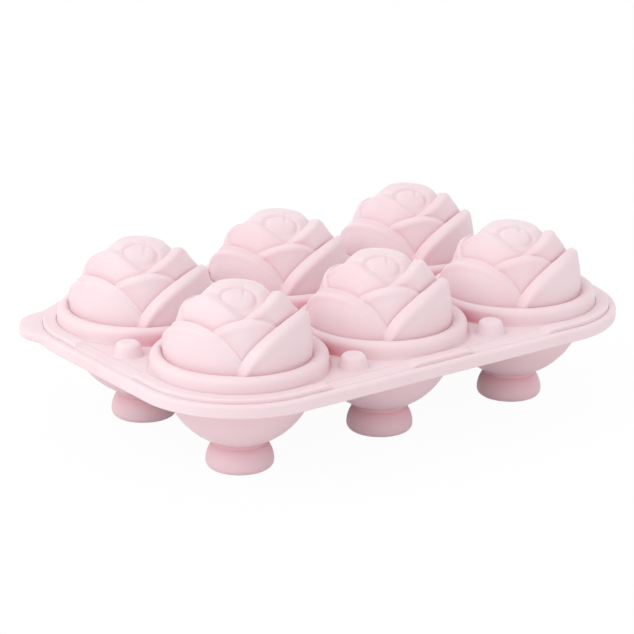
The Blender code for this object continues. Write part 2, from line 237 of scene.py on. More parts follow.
class CupSizes(bpy.types.PropertyGroup):
    """Sizes of a cup and the funnel that it stands on."""

    mouth_radius: length("Cup mouth", "Of the cup's hollow, at the parting face", 25.2)
    centre_rise: length("Centre rise", "Centre of the cup's round above the parting face", 2.2)
    wall: length("Wall", "Of the cup", 1.9)
    top_fillet: length("Top fillet", "Where the cup meets the flange", 1.2)
    depth: length("Extra depth", "How much deeper the cup's outside is than round", 0.8)
    neck_radius: length("Neck radius", "Of the neck between the cup and the funnel", 9.6)
    neck_length: length("Neck length", "Of the straight neck below the cup", 1.4)
    bulge: share("Bulge", "The smaller, the sooner the funnel widens below its neck", 0.75)
    # Painted shade: how far the shade painted into the neck reaches up the cup and down the funnel
    painted_shade: length("Blush", "How far the pink of the neck reaches up the cup and down the funnel", 3.6)
    foot_round_height: length("Foot rounding height", "Of the funnel's lower edge", 2.2)
    foot_round_width: length("Foot rounding width", "Of the funnel's lower edge", 1.7)
    pour_radius: length("Pouring mouth", "Of the funnel, at the foot", 8.3)
    bore_radius: length("Bore", "Of the funnel, where it enters the cup", 5.5)
    bore_length: length("Bore length", "Straight stretch below the cup", 2.5)


class FlangeSizes(bpy.types.PropertyGroup):
    """Sizes of the two flanges, the rim and the pull tab."""

    corner_radius: length("Corner radius", "Of the mould's outline", 39.0)
    base_plate: length("Base plate", "Thickness of the base half's flange", 2.5)
    base_round: length("Base rounding", "Of the lower edge of the rim", 0.9)
    rim_width: length("Rim width", "Of the rim round the base half", 2.6)
    rim_round: length("Rim rounding", "Of the outer edge of the rim", 1.2)
    rim_inner_round: length("Inner rim rounding", "Of the inner edge of the rim", 0.25)
    fit: length("Fit", "Sideways play between the two halves, which the soft edges nearly close", 0.05)
    lid_plate: length("Lid plate", "Thickness of the rose half's flange", 2.7)
    lid_round: length("Lid rounding", "Of the outer edge of the rose half's flange", 0.6)
    border_width: length("Border width", "Of the raised strip round the rose half", 4.8)
    border_height: length("Border height", "Of that strip above the flange", 0.7)
    border_fillet: length("Border fillet", "Of the inner edge of that strip", 0.3)
    border_clear: length("Border clearance", "Round the middle of each bump, where that strip stops", 22.4)
    border_end: length("Border end", "Over which that strip runs out", 1.6)
    edge_drop: length("Edge drop", "Of the flange's edge where there is no strip", 0.6)
    tab_reach: length("Tab reach", "Of the pull tab, beyond the rim", 6.0)
    tab_thickness: length("Tab thickness", "Of the pull tab", 3.2)
    tab_turn: angle("Tab turn", "Direction of the pull tab from the middle of its corner", 150.0)
    tab_spread: angle("Tab spread", "From the middle of the pull tab to where it has fallen to a third", 17.0)


class PegSizes(bpy.types.PropertyGroup):
    """Sizes of the locating pegs and of the sockets that take them."""

    base_radius: length("Peg foot", "Radius of a peg at its foot", 3.0)
    top_radius: length("Peg top", "Radius of a peg at its top", 2.2)
    rounding: length("Peg rounding", "Of the top of a peg", 0.7)
    play: length("Socket play", "Between a peg and its socket", 0.4)
    wall: length("Socket wall", "Between the top of a socket and the top of its bump", 1.4)
    bump_foot: length("Bump foot", "Radius of a bump at its foot", 5.1)
    bump_radius: length("Bump radius", "Of a bump at its shoulder", 4.5)
    fillet: length("Bump fillet", "Where a bump meets the flange", 0.6)
    bump_round: length("Bump rounding", "Of the top of a bump", 2.0)


class SiliconeLook(bpy.types.PropertyGroup):
    """Colours and finish of the silicone."""

    colour: colour("Silicone", "Colour of the silicone", "f1dee3")
    deep: colour("Deeper silicone", "Colour of the patches where more pigment shows", "f0d8dd")
    # Painted shade: the deeper pink that creases, necks and funnels are painted towards
    painted_shade: colour("Blush", "Colour of the creases, where light goes from wall to wall", "e59aa6")
    glow: length("Glow", "How far light spreads inside the silicone", 1.5)
    rough: share("Roughness", "Middle roughness of the surface", 0.5)


class StageLook(bpy.types.PropertyGroup):
    """Floor, light and camera."""

    floor: colour("Floor", "Colour of the floor", "fafafa")
    floor_glow: share("Floor white", "Share of the floor that the camera sees as plain white", 0.96)
    ambient: strength("Ambient", "Strength of the light from all round", 0.90)
    key: strength("Key light", "Power of the lamp from the upper left, in watts", 4.4)
    azimuth: angle("Camera azimuth", "Turn of the camera about the mould", -36.566)
    elevation: angle("Camera elevation", "Of the camera above the level", 18.813)
    roll: angle("Camera roll", "Of the camera about its own line of sight", 0.347)
    distance: length("Camera distance", "From the camera to the point it looks at", 934.5)
    aim: FloatVectorProperty(
        name="Aim",
        description="Point that the camera looks at",
        default=(0.00277, 0.01134, 0.030),
        subtype="XYZ",
        unit="LENGTH",
    )
    lens: FloatProperty(name="Lens", description="Focal length in millimetres", default=141.4, min=1)


class MouldSettings(bpy.types.PropertyGroup):
    """All settings of the mould."""

    rose: PointerProperty(type=RoseSizes)
    cup: PointerProperty(type=CupSizes)
    flange: PointerProperty(type=FlangeSizes)
    peg: PointerProperty(type=PegSizes)
    silicone: PointerProperty(type=SiliconeLook)
    stage: PointerProperty(type=StageLook)


def middle(node):
    """Upright axis of a solid: the middle of its box."""
    low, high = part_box(node)
    return (low + high) / 2


def arc(centre, radii, start, end, steps=ROUND_STEPS):
    """Points on a round or oval from one angle to another, in degrees: centre + radii x (cos, sin)."""
    turns = np.radians(np.linspace(start, end, steps + 1))
    return np.asarray(centre) + np.broadcast_to(radii, 2) * np.column_stack([np.cos(turns), np.sin(turns)])


def turned(profile, columns, axis):
    """Rows of points from a profile of (radius, height) spun about an upright axis."""
    turns = np.radians(np.arange(columns) * 360 / columns)
    radius, height = np.asarray(profile).T[:, :, None]
    return spread(radius, height, turns, axis)


def spread(radius, height, turns, axis):
    """Grid of points: each row's radius times (cos, sin) of the columns' turns, at its height."""
    level = height + 0 * turns
    return np.stack([axis.x + radius * np.cos(turns), axis.y + radius * np.sin(turns), level], axis=-1)


def skin(points, painted_shade=0.0):
    """Quads between the rows of a grid of points, each row a closed loop, and each point's painted shade."""
    index = np.arange(points.shape[0] * points.shape[1]).reshape(points.shape[:2])
    after = np.roll(index, -1, axis=1)
    quads = np.stack([index[:-1], after[:-1], after[1:], index[1:]], axis=-1)
    return points.reshape(-1, 3), quads.reshape(-1, 4), np.broadcast_to(painted_shade, points.shape[:2]).ravel()


def field(loops):
    """Flat triangles inside the first loop of points, with the other loops left open."""
    triangles = tessellate_polygon([[Vector(point) for point in loop] for loop in loops])
    points = np.concatenate(loops)
    return points, np.array(triangles), np.zeros(len(points))


def add_piece(name, parts, body, nodes):
    """Joins grids and fields into one closed mesh, and sets it on a body in place of CAD nodes."""
    missing = [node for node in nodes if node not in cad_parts]
    if missing:
        raise RuntimeError(f"{name} stands for solids that aren't in the frame: {missing}")
    faces = []
    count = 0
    for points, corners, _ in parts:
        faces += (corners + count).tolist()
        count += len(points)
    mesh = bpy.data.meshes.new(name)
    mesh.from_pydata(np.concatenate([part[0] for part in parts]).tolist(), [], faces)
    tint = mesh.attributes.new(PAINTED_SHADE, "FLOAT", "POINT")
    tint.data.foreach_set("value", np.concatenate([part[2] for part in parts]))
    shape = bmesh.new()
    shape.from_mesh(mesh)
    bmesh.ops.remove_doubles(shape, verts=shape.verts, dist=MERGE)
    bmesh.ops.recalc_face_normals(shape, faces=shape.faces)
    shape.to_mesh(mesh)
    shape.free()
    mesh.shade_smooth()
    mesh.set_sharp_from_angle(angle=SHARP_ANGLE)
    mesh.materials.append(silicone_rubber(bpy.context.scene.mould.silicone))
    piece = bpy.data.objects.new(name, mesh)
    bpy.context.scene.collection.objects.link(piece)
    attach(piece, body)
    if nodes:
        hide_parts(*nodes)


def add_node(tree, kind, settings=None, links=None):
    """Adds a node, sets its inputs and options by name, and links its inputs to the given sockets."""
    node = tree.nodes.new(kind)
    for name, value in (settings or {}).items():
        if isinstance(name, int) or name in node.inputs:
            node.inputs[name].default_value = value
        else:
            setattr(node, name, value)
    for name, socket in (links or {}).items():
        tree.links.new(socket, node.inputs[name])
    return node


def silicone_rubber(look):
    """Moulded silicone rubber: soft satin skin, and light that goes a little way in and comes out pinker."""
    name = "Moulded silicone rubber"
    if name in bpy.data.materials:
        return bpy.data.materials[name]
    material = bpy.data.materials.new(name)
    material.use_nodes = True
    tree = material.node_tree
    tree.nodes.clear()
    place = add_node(tree, "ShaderNodeTexCoord").outputs["Object"]
    # Pigment is stirred in by hand, so its patches are a few centimetres wide and very faint
    patches = add_node(
        tree, "ShaderNodeTexNoise", {"Scale": 1 / PATCH_WIDTH, "Detail": 3.0}, {"Vector": place}
    )
    patch_share = add_node(
        tree, "ShaderNodeMapRange", {"From Min": 0.35, "From Max": 0.7}, {"Value": patches.outputs["Fac"]}
    )
    pigment = add_node(
        tree, "ShaderNodeMix", {"data_type": "RGBA"}, {"Factor": patch_share.outputs["Result"]}
    )
    pigment.inputs["A"].default_value = (*look.colour, 1)
    pigment.inputs["B"].default_value = (*look.deep, 1)
    # Painted shade: creases are mixed towards a deeper pink, for light that takes on the pigment's pink at
    # each wall
    crease = add_node(tree, "ShaderNodeAttribute", {"attribute_name": PAINTED_SHADE})
    tinted = add_node(
        tree,
        "ShaderNodeMix",
        {"data_type": "RGBA"},
        {"Factor": crease.outputs["Fac"], "A": pigment.outputs["Result"]},
    )
    tinted.inputs["B"].default_value = (*look.painted_shade, 1)
    # The mould's own satin blast leaves smears a centimetre wide in how dull the skin is
    smears = add_node(
        tree, "ShaderNodeTexNoise", {"Scale": 1 / SMEAR_WIDTH, "Detail": 4.0}, {"Vector": place}
    )
    dullness = add_node(
        tree,
        "ShaderNodeMapRange",
        {"To Min": look.rough - ROUGH_SPREAD, "To Max": look.rough + ROUGH_SPREAD},
        {"Value": smears.outputs["Fac"]},
    )
    # The blast's grit is about 0.1 mm, drawn at 0.7 mm so that it shows
    grit = add_node(tree, "ShaderNodeTexNoise", {"Scale": 1 / GRIT_WIDTH, "Detail": 2.0}, {"Vector": place})
    bump = add_node(
        tree, "ShaderNodeBump", {"Strength": 0.2, "Distance": GRIT_HEIGHT}, {"Height": grit.outputs["Fac"]}
    )
    shader = add_node(
        tree,
        "ShaderNodeBsdfPrincipled",
        {
            "IOR": 1.41,
            "Subsurface Weight": 0.3,
            "Subsurface Radius": (1.0, 0.6, 0.55),
            "Subsurface Scale": look.glow,
            "Sheen Weight": 0.12,
            "Sheen Roughness": 0.4,
        },
        {
            "Base Color": tinted.outputs["Result"],
            "Roughness": dullness.outputs["Result"],
            "Normal": bump.outputs["Normal"],
        },
    )
    add_node(tree, "ShaderNodeOutputMaterial", links={"Surface": shader.outputs["BSDF"]})
    return material


def petal_edges(tier, turns):
    """Each petal of a tier at all turns about the rose: place across, edge height and slope of the edge.

    A petal reaches from -1 at its left end to 1 at its right end, and its edge is half an oval over that.
    """
    turn, top, left, right, _ = np.array(tier.petals).T[:, :, None]
    offset = (turns - turn + 180) % 360 - 180
    reach = np.where(offset < 0, left, right)
    across = np.clip(offset / reach, -1, 1)
    upright = np.sqrt(1 - across**2)
    return across, top * upright, top * across / (reach * np.maximum(upright, LEAST_UPRIGHT))


def tier_edges(crease, turns):
    """Height angles of the crease and of all tiers' edges: the highest petal, always above the tier below."""
    edges = [np.full(len(turns), crease)]
    for tier in TIERS:
        highest = petal_edges(tier, turns)[1].max(axis=0)
        edges.append(np.maximum(highest, edges[-1] + LEAST_BAND))
    return edges


def petal_face(sizes, tier, turns, climb):
    """A tier's distance from the rose's centre, as a share of its radius, at height angles by rows and turns.

    A face leans from low to lip as it climbs, by a power, and tilts from its left end to its right. It curls
    in by a power over the lip along its edge, wide on the left and thin on the right. The lip's bead is a
    bell curve, and outside its petal a face falls away to the tier's floor. The outermost petal counts.
    """
    across, edge, slope = (part[:, None, :] for part in petal_edges(tier, turns))
    inside = np.radians(edge - climb) / np.hypot(1, slope / np.cos(np.radians(climb)))
    roll = LIP_MIDDLE - LIP_CHANGE * across
    short = np.clip(1 - inside * sizes.radius / (sizes.lip_width * roll), 0, 1)
    curl = sizes.lip_drop * roll * short**LIP_CURL
    bead = sizes.bead * roll**2 * np.exp(-((short - BEAD_MIDDLE) / BEAD_SPREAD)**2)
    _, top, _, _, lip = np.array(tier.petals).T[:, :, None, None]
    lean = tier.low + (lip - tier.low) * np.minimum(climb / top, 1)**FLARE
    face = lean - (sizes.tilt * across + curl - bead) / sizes.radius - LIP_FALL * np.maximum(-inside, 0)
    return np.maximum(face, lean - TIER_FLOOR).max(axis=0)


def bud_rows(sizes, edge, turns, relief):
    """Height angles, distances and painted shade of the rows from the last tier's edge in to the middle of
    the bud.

    The bud is round, with a heart in front and a ring behind it. A bell-shaped groove along half an oval
    parts them, and a short one makes the heart's notch.
    """
    inward = np.linspace(0, 1, BUD_ROWS + 1)[1:, None]
    climb = edge + STEP_CLIMB + (90 - edge - STEP_CLIMB) * inward
    radius = sizes.radius * np.cos(np.radians(climb))
    ahead = radius * np.cos(np.radians(turns - BUD_FRONT))
    aside = radius * np.sin(np.radians(turns - BUD_FRONT))
    oval = np.hypot(aside / sizes.heart_width, (ahead - sizes.heart_ahead) / sizes.heart_depth) - 1
    behind = np.clip(1 + RING_FADE * (1 - ahead / sizes.heart_ahead), 0, 1)
    part = np.exp(-(oval * sizes.heart_width / sizes.groove)**2) * behind
    across = np.exp(-((aside - sizes.notch_aside) / (NOTCH_WIDTH * sizes.groove))**2)
    notch = NOTCH_DEPTH * across * np.exp(-((ahead / sizes.heart_ahead - NOTCH_PLACE) / NOTCH_SPREAD)**2)
    groove = np.maximum(part, notch)
    face = 1 - BUD_NARROW * np.maximum(BUD_CLIMB - climb, 0) - sizes.bud_aside * aside / sizes.radius**2
    return climb, face - relief / sizes.radius * groove, FOOT_PAINTED_SHADE / 2 * groove


def petal_rows(sizes, crease, turns, stages, lag=0.0):
    """Height angles, distances and painted shade of all tiers' rows, each from its foot to its edge by the
    stages.

    The foot of a tier is tucked in behind the tier below, by a bell curve, and its painted shade fades with
    the way up from there. lag lowers the rows for the cavity.
    """
    edges = tier_edges(crease, turns)
    rows = []
    for level, tier in enumerate(TIERS):
        foot = edges[level] + (STEP_CLIMB if level else 0)
        climb = foot + np.maximum(edges[level + 1] - foot, 0) * stages[:, None]
        tuck = sizes.tuck / sizes.radius * np.exp(-((climb - foot) / TUCK_SPAN)**2) if level else 0
        distance = petal_face(sizes, tier, turns, climb) - tuck
        painted_shade = FOOT_PAINTED_SHADE * np.exp(-np.radians(climb - foot) * sizes.radius / sizes.painted_shade)
        rows.append((np.maximum(climb - lag, 0), distance, painted_shade))
    rows.append(bud_rows(sizes, edges[-1] - lag, turns, 0 if lag else sizes.groove_depth))
    return [np.concatenate(part) for part in zip(*rows)]


def rose_shell(sizes, plate_low, plate_top, centre_z, turns):
    """Radii, heights and painted shade of all rows of a rose, and how far each lies down the side of the
    collar.

    The rows run down the cavity from its pole, through the flange, up the collar and up the petals to their
    pole. Under the collar the rows lie deep in the flange, so that both look cast in one.
    """
    columns = len(turns)
    crease_z = plate_top + sizes.collar_height - sizes.crease_drop - centre_z
    crease = math.degrees(math.atan2(crease_z, sizes.radius))
    lag = math.degrees(sizes.wall / sizes.radius)

    climb, distance, hollow_painted_shade = petal_rows(sizes, crease, turns, np.linspace(0, 1, INSIDE_ROWS), lag)
    reach = distance * sizes.radius - sizes.wall
    hollow_r = reach * np.cos(np.radians(climb))
    hollow_z = centre_z + reach * np.sin(np.radians(climb))

    cavity = sizes.cavity_radius
    ceiling = plate_top + sizes.ceiling
    fillet = sizes.collar_fillet
    outside = sizes.collar_radius
    bend = sizes.collar_round
    top = plate_top + sizes.collar_height
    sunk = plate_low + 2 * LEAD
    plug = np.concatenate([
        arc((cavity - LEAD, ceiling - LEAD), LEAD, 90, 0),
        arc((cavity + LEAD, plate_low + LEAD), LEAD, 180, 270),
        [(cavity + PLUG, plate_low), (cavity + PLUG + LEAD, sunk), (outside + fillet, sunk)],
    ])
    collar = np.concatenate([
        arc((outside + fillet, plate_top + fillet), fillet, 270, 180),
        arc((outside - bend, top - bend), bend, 0, 90),
    ])
    collar_painted_shade = FOOT_PAINTED_SHADE / 2 * np.exp(-(collar[:, 1] - plate_top) / sizes.collar_fillet)

    stages = 1 - (1 - np.linspace(0, 1, TIER_ROWS))**ROW_CROWD
    climb, distance, petal_painted_shade = petal_rows(sizes, crease, turns, stages)
    reach = distance * sizes.radius
    petal_r = reach * np.cos(np.radians(climb))
    petal_z = centre_z + reach * np.sin(np.radians(climb))
    ledge = np.linspace(0, 1, ROUND_STEPS)[1:-1, None]
    ledge_r = (outside - bend) * (1 - ledge) + petal_r[:1] * ledge
    ledge_z = top * (1 - ledge**2) + petal_z[:1] * ledge**2
    ledge_painted_shade = np.repeat(FOOT_PAINTED_SHADE * ledge**3, columns, 1)

    fixed = np.column_stack([np.concatenate([plug, collar]), np.append(np.zeros(len(plug)), collar_painted_shade)])
    fixed_r, fixed_z, fixed_painted_shade = np.repeat(fixed.T[:, :, None], columns, 2)
    radius = np.concatenate([hollow_r[::-1], fixed_r, ledge_r, petal_r])
    height = np.concatenate([hollow_z[::-1], fixed_z, ledge_z, petal_z])
    painted_shade = np.concatenate([hollow_painted_shade[::-1], fixed_painted_shade, ledge_painted_shade, petal_painted_shade])
    side = np.zeros((len(painted_shade), 1))
    first = len(hollow_r) + len(plug)
    side[first:first + len(collar), 0] = (top - collar[:, 1]) / sizes.collar_height
    return radius, height, painted_shade, side


def crevice(turns, axis, axes):
    """How closely each column of a rose faces its neighbours: a bell curve about the way to each one."""
    nearness = np.zeros(len(turns))
    for other in axes:
        way = other - axis
        if 0 < way.length < NEIGHBOUR:
            away = (turns - math.degrees(math.atan2(way.y, way.x)) + 180) % 360 - 180
            nearness += np.exp(-(away / CREVICE_SPREAD)**2)
    return nearness


def cup_profile(sizes, flange):
    """Closed profile of a cup and its funnel, and its painted shade: outside down, round the foot, and up the
    inside.

    Inside, the cup is round, and outside it is an oval about the same centre, a little deeper. Below a
    straight neck the funnel widens by a power of a sine. The painted shade is a bell curve about the neck's
    middle.
    """
    under_z = BASE_LOW.z
    parting_z = under_z + flange.base_plate
    seat_z = CUP_LOW.z
    centre_z = parting_z + sizes.centre_rise
    inner = math.hypot(sizes.mouth_radius, sizes.centre_rise)
    outer = inner + sizes.wall
    fillet = sizes.top_fillet
    start = -math.degrees(math.asin((centre_z - under_z + fillet) / outer))
    neck = -math.degrees(math.acos(sizes.neck_radius / outer))
    bowl = arc((0, centre_z), (outer, outer + sizes.depth), start, neck, BOWL_STEPS)
    neck_z = bowl[-1, 1] - sizes.neck_length
    drop = np.linspace(0, 1, FUNNEL_ROWS)**FUNNEL_CROWD
    swell = sizes.neck_radius + (FOOT_RADIUS - sizes.neck_radius) * np.sin(np.pi / 2 * drop)**sizes.bulge
    flare = np.column_stack([swell, neck_z + (sizes.foot_round_height - neck_z) * drop])
    foot_round = np.array([sizes.foot_round_width, sizes.foot_round_height])
    foot = arc((FOOT_RADIUS - sizes.foot_round_width, sizes.foot_round_height), foot_round, 0, -90)
    mouth = arc((sizes.pour_radius + LEAD, LEAD), LEAD, 270, 180 + MOUTH_LEAN)
    bore = [(sizes.bore_radius, seat_z - sizes.bore_length), (sizes.bore_radius, seat_z)]
    low = -math.degrees(math.acos((sizes.bore_radius + LEAD) / inner))
    high = -math.degrees(math.asin((sizes.centre_rise + LEAD) / inner))
    inside = arc((0, centre_z), inner, low, high, BOWL_STEPS)
    edge = inside[-1]
    lip = arc((edge[0] + LEAD, edge[1]), LEAD, 180, 90)
    top_fillet = arc((outer * math.cos(math.radians(start)) + fillet, under_z - fillet), fillet, 90, 180)
    ring = [(sizes.mouth_radius + PLUG, parting_z)]
    above = np.concatenate([top_fillet, bowl])
    below = np.concatenate([flare, foot, mouth, bore])
    rest = np.concatenate([inside, lip, ring, top_fillet[:1]])
    seen = np.concatenate([above, below])
    away = np.hypot(seen[:, 0] - sizes.neck_radius, seen[:, 1] - neck_z - sizes.neck_length / 2)
    painted_shade = FUNNEL_PAINTED_SHADE + (NECK_PAINTED_SHADE - FUNNEL_PAINTED_SHADE) * np.exp(-(away / sizes.painted_shade)**2)
    return np.concatenate([seen, rest]), np.concatenate([painted_shade, np.zeros(len(rest))])


def peg_profile(sizes, low, high):
    """Profile of a tapered peg with a filleted foot and a rounded top, from the middle of its foot up."""
    bend = sizes.rounding
    return np.concatenate([
        [(0, low)],
        arc((sizes.base_radius + PEG_FILLET, low + PEG_FILLET), PEG_FILLET, 270, 180),
        arc((sizes.top_radius - bend, high - bend), bend, PEG_LEAN, 90),
        [(0, high)],
    ])


def socket_profile(sizes, low, plate_top, high):
    """Profile of a socket and its bump: down the socket from its pole, through the flange and up to a pole.

    Under the bump's foot the profile lies deep in the flange, so that both look cast in one.
    """
    ceiling = high - sizes.wall
    sunk = low + 2 * SMALL_LEAD
    socket = sizes.base_radius + sizes.play
    socket_top = sizes.top_radius + sizes.play
    fillet = sizes.fillet
    bend = sizes.bump_round
    foot = sizes.bump_foot + fillet
    return np.concatenate([
        [(0, ceiling)],
        arc((socket_top - SMALL_LEAD, ceiling - SMALL_LEAD), SMALL_LEAD, 90, 0),
        arc((socket + SMALL_LEAD, low + SMALL_LEAD), SMALL_LEAD, 180, 270),
        [(socket + 2 * SMALL_LEAD, low), (socket + 3 * SMALL_LEAD, sunk), (foot, sunk)],
        arc((foot, plate_top + fillet), fillet, 270, 180 + BUMP_LEAN),
        arc((sizes.bump_radius - bend, high - bend), bend, BUMP_LEAN, 90),
        [(0, high)],
    ])


def tab_reach(sizes, turns):
    """How far the pull tab stands out of its corner, by the turn about it: a flat-topped bell curve."""
    return sizes.tab_reach * np.exp(-((turns - sizes.tab_turn) / sizes.tab_spread)**4)


def strip_share(sizes, x, y):
    """1 where the raised strip runs along the mould's edge, 0 near the bumps, by a smooth step."""
    spots = [middle(f"locating_peg_{number}") for number in NUMBERS]
    nearest = np.min([np.hypot(x - spot.x, y - spot.y) for spot in spots], axis=0)
    step = np.clip((nearest - sizes.border_clear) / sizes.border_end, 0, 1)
    return step**2 * (3 - 2 * step)


def outline(sizes, profile):
    """Rows of points from a profile of (inset, height, tab, strip, drop) carried round the mould's outline.

    The outline is a rounded rectangle: the middle of each corner, plus its radius less the inset, times
    (cos, sin), and that middle moves along each straight side. tab, strip and drop are a row's shares of the
    pull tab's reach, of the raised strip, and of the drop where the strip stops.
    """
    half_x = BASE_HIGH.x - sizes.corner_radius
    half_y = BASE_HIGH.y - sizes.corner_radius
    bend = np.linspace(0, 1, CORNER_STEPS + 1)
    along = np.linspace(0, 1, SIDE_STEPS + 2)[1:-1]
    corner = np.repeat(np.arange(4), CORNER_STEPS + 1 + SIDE_STEPS)
    turns = (corner + np.tile(np.append(bend, np.ones(SIDE_STEPS)), 4)) * math.pi / 2
    way = np.tile(np.append(0 * bend, along), 4)
    corner_x = np.array([1, -1, -1, 1, 1]) * half_x
    corner_y = np.array([1, 1, -1, -1, 1]) * half_y
    centre_x = corner_x[corner] * (1 - way) + corner_x[corner + 1] * way
    centre_y = corner_y[corner] * (1 - way) + corner_y[corner + 1] * way
    inset, height, tab, strip, drop = np.asarray(profile, float).T[:, :, None]
    edge_x = centre_x + sizes.corner_radius * np.cos(turns)
    edge_y = centre_y + sizes.corner_radius * np.sin(turns)
    raised = strip_share(sizes, edge_x, edge_y)
    at_tab = corner == int(sizes.tab_turn // (math.pi / 2))
    reach = sizes.corner_radius - inset + tab * np.where(at_tab, tab_reach(sizes, turns), 0)
    level = height + strip * raised * sizes.border_height - drop * (1 - raised) * sizes.edge_drop
    x = centre_x + reach * np.cos(turns)
    y = centre_y + reach * np.sin(turns)
    return np.stack([x, y, level + 0 * turns], axis=-1)


def shared(points, tab=0.0, strip=0.0, drop=0.0):
    """Profile points (inset, height) with their shares of the tab, the strip and the drop added."""
    points = np.asarray(points, float)
    return np.column_stack([points, np.broadcast_to((tab, strip, drop), (len(points), 3))])


def plug_holes(axes, low_radius, low_z, high_radius, high_z, columns):
    """Sides of the round holes that turned pieces fill, and the holes' loops on both faces of the plate."""
    grids = [turned([(low_radius, low_z), (high_radius, high_z)], columns, axis) for axis in axes]
    return [skin(grid) for grid in grids], [grid[0] for grid in grids], [grid[1] for grid in grids]


class MOULD_OT_add_roses(bpy.types.Operator):
    """Adds the six hollow roses on their collars"""

    bl_idname = "mould.add_roses"
    bl_label = "Roses"

    def execute(self, context):
        sizes = context.scene.mould.rose
        plate_top = LID_LOW.z + context.scene.mould.flange.lid_plate
        turns = np.arange(ROSE_COLUMNS) * 360 / ROSE_COLUMNS
        radius, height, painted_shade, side = rose_shell(
            sizes, LID_LOW.z, plate_top, COLLAR_LOW.z + sizes.centre_rise, turns
        )
        axes = [middle(f"rose_{number}") for number in NUMBERS]
        for number, axis in zip(NUMBERS, axes):
            points = spread(radius, height, np.radians(turns), axis)
            # Painted shade: the creases' own, and more down the collar's side where it faces a neighbouring
            # rose
            tint = painted_shade + CREVICE_PAINTED_SHADE * side * crevice(turns, axis, axes)
            add_piece(f"rose_skin_{number}", [skin(points, tint)], ROSE_HALF, [f"rose_{number}"])
        return {"FINISHED"}


class MOULD_OT_add_rose_flange(bpy.types.Operator):
    """Adds the flange of the rose half with its raised border"""

    bl_idname = "mould.add_rose_flange"
    bl_label = "Rose flange"

    def execute(self, context):
        sizes = context.scene.mould.flange
        rose = context.scene.mould.rose
        peg = context.scene.mould.peg
        low = LID_LOW.z
        top = low + sizes.lid_plate
        edge = sizes.rim_width + sizes.fit
        inner = edge + sizes.border_width
        bend = sizes.lid_round
        small = sizes.border_fillet
        rows = outline(sizes, np.concatenate([
            shared([(edge + 2 * bend, low)]),
            shared(arc((edge + small, low + small), small, 270, 180)),
            shared(arc((edge + bend, top - bend), bend, 180, 90), strip=1, drop=1),
            shared(arc((inner - small, top - small), small, 90, 0), strip=1),
            shared([(inner, top), (inner + small, top)]),
        ]))
        axes = [middle(f"rose_{number}") for number in NUMBERS]
        spots = [middle(f"locating_peg_{number}") for number in NUMBERS]
        hole = rose.cavity_radius + PLUG
        socket = peg.base_radius + peg.play + 2 * SMALL_LEAD
        sides, below, above = plug_holes(axes, hole, low, hole, top, CUP_COLUMNS)
        more, more_below, more_above = plug_holes(spots, socket, low, socket, top, PEG_COLUMNS)
        faces = [field([rows[0]] + below + more_below), field([rows[-1]] + above + more_above)]
        add_piece("rose_flange_skin", [skin(rows)] + sides + more + faces, ROSE_HALF, ["rose_flange"])
        return {"FINISHED"}


class MOULD_OT_add_sockets(bpy.types.Operator):
    """Adds the six hollow bumps that take the locating pegs"""

    bl_idname = "mould.add_sockets"
    bl_label = "Peg sockets"

    def execute(self, context):
        sizes = context.scene.mould.peg
        plate_top = LID_LOW.z + context.scene.mould.flange.lid_plate
        profile = socket_profile(sizes, LID_LOW.z, plate_top, LID_HIGH.z)
        for number in NUMBERS:
            points = turned(profile, PEG_COLUMNS, middle(f"locating_peg_{number}"))
            add_piece(f"peg_socket_{number}", [skin(points)], ROSE_HALF, [])
        return {"FINISHED"}


class MOULD_OT_add_base_flange(bpy.types.Operator):
    """Adds the flange of the base half with its rim and pull tab"""

    bl_idname = "mould.add_base_flange"
    bl_label = "Base flange"

    def execute(self, context):
        sizes = context.scene.mould.flange
        cup = context.scene.mould.cup
        low = BASE_LOW.z
        parting = low + sizes.base_plate
        rim = BASE_HIGH.z
        bend = sizes.base_round
        crest = sizes.rim_round
        inner = sizes.rim_inner_round
        under_tab = rim - sizes.tab_thickness
        rows = outline(sizes, np.concatenate([
            shared([(2 * bend, low)]),
            shared(arc((bend, low + bend), bend, 270, 180)),
            shared([(0, under_tab)]),
            shared([(0, under_tab)], tab=TAB_UNDER),
            shared([(0, under_tab + SMALL_LEAD)], tab=TAB_EDGE),
            shared(arc((crest, rim - crest), crest, 180, 90), tab=1),
            shared(arc((sizes.rim_width - inner, rim - inner), inner, 90, 0)),
            shared(arc((sizes.rim_width + SMALL_LEAD, parting + SMALL_LEAD), SMALL_LEAD, 180, 270)),
            shared([(sizes.rim_width + 3 * SMALL_LEAD, parting)]),
        ]))
        cup_loop, _ = cup_profile(cup, sizes)
        axes = [middle(f"cup_{number}") for number in NUMBERS]
        hole = cup.mouth_radius + PLUG
        sides, below, above = plug_holes(axes, cup_loop[0, 0], low, hole, parting, CUP_COLUMNS)
        faces = [field([rows[0]] + below), field([rows[-1]] + above)]
        add_piece("base_flange_skin", [skin(rows)] + sides + faces, BASE_HALF, ["base_flange"])
        return {"FINISHED"}


class MOULD_OT_add_cups(bpy.types.Operator):
    """Adds the six cups with the funnels that they stand on"""

    bl_idname = "mould.add_cups"
    bl_label = "Cups and funnels"

    def execute(self, context):
        profile, painted_shade = cup_profile(context.scene.mould.cup, context.scene.mould.flange)
        for number in NUMBERS:
            nodes = [f"cup_{number}", f"funnel_foot_{number}"]
            points = turned(profile, CUP_COLUMNS, middle(nodes[0]))
            add_piece(f"cup_skin_{number}", [skin(points, painted_shade[:, None])], BASE_HALF, nodes)
        return {"FINISHED"}


